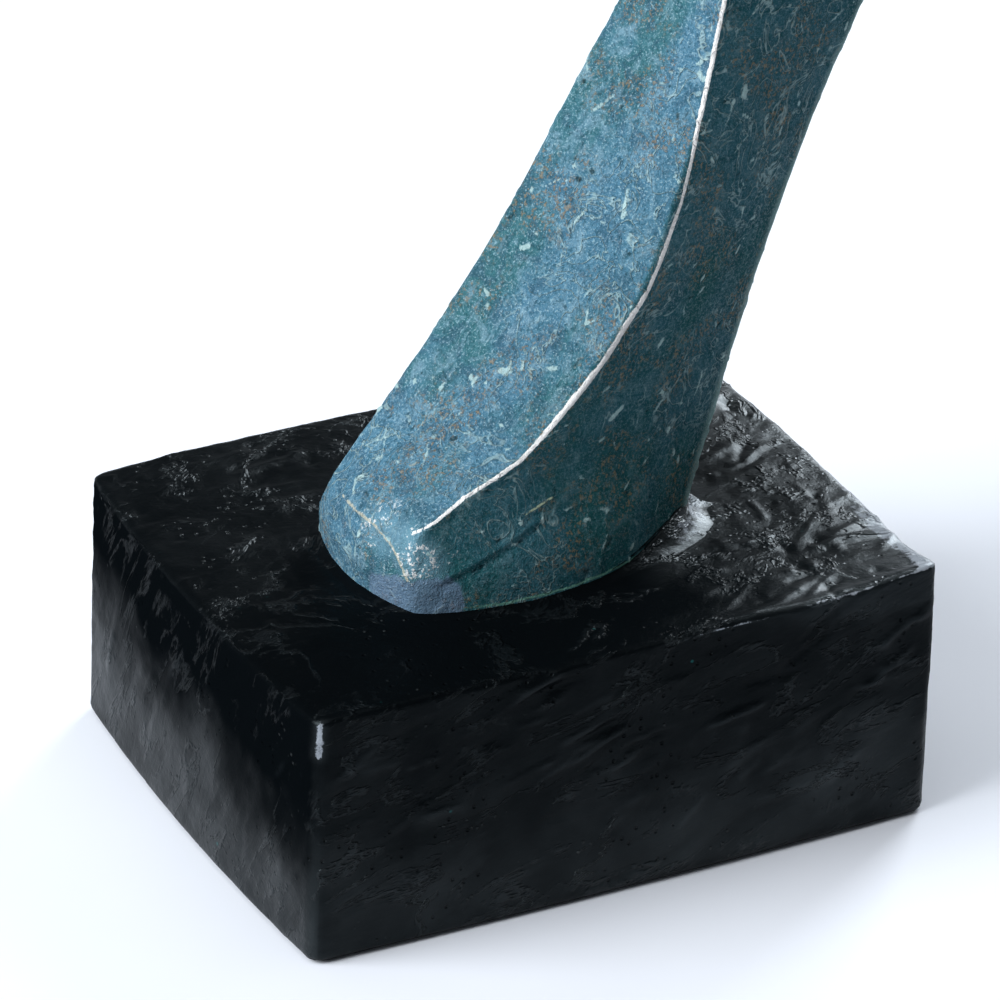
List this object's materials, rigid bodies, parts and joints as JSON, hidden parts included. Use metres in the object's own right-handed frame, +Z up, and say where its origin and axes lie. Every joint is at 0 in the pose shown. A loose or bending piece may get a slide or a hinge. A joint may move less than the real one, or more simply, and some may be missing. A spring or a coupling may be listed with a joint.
{
  "type": "display plinth",
  "caption": "Small hand-troweled black rectangular plinth carrying the bedded foot and leaning lower limb of a hollow patinated figure, open to a bolted joint at its upper end.",
  "frame": {"origin": "centre of the felt's underside, at the middle of the block's plan", "axes": "+X along the block's long side, towards which the casting leans; -Y towards the front, +Z up"},
  "size_m": [0.1317, 0.094, 0.1654],
  "materials": {
    "block_paint": "black satin paint over hand-troweled cast resin",
    "bedding_filler": "black filler, trowelled and painted",
    "verdigris": "blue-green verdigris patina, rubbed bright on the ridge",
    "joint_metal": "milled, lightly tarnished",
    "insert_metal": "turned",
    "fixing_steel": "zinc plated",
    "armature_steel": "mill finish, bent cold",
    "pin_steel": "ground",
    "felt": "pressed black felt"
  },
  "bodies": {
    "root": {"anchor_plate": "armature_steel", "armature_rod": "armature_steel", "bedding_fillet": "bedding_filler", "felt_pad": "felt", "figure_casting": "verdigris", "joint_plate": "joint_metal", "locating_pin_left": "pin_steel", "locating_pin_right": "pin_steel", "lock_washer_left": "fixing_steel", "lock_washer_right": "fixing_steel", "mounting_stud_left": "fixing_steel", "mounting_stud_right": "fixing_steel", "plinth_block": "block_paint", "stud_nut_left": "fixing_steel", "stud_nut_right": "fixing_steel", "stud_washer_left": "fixing_steel", "stud_washer_right": "fixing_steel", "thread_insert": "insert_metal"}
  },
  "joints": []
}
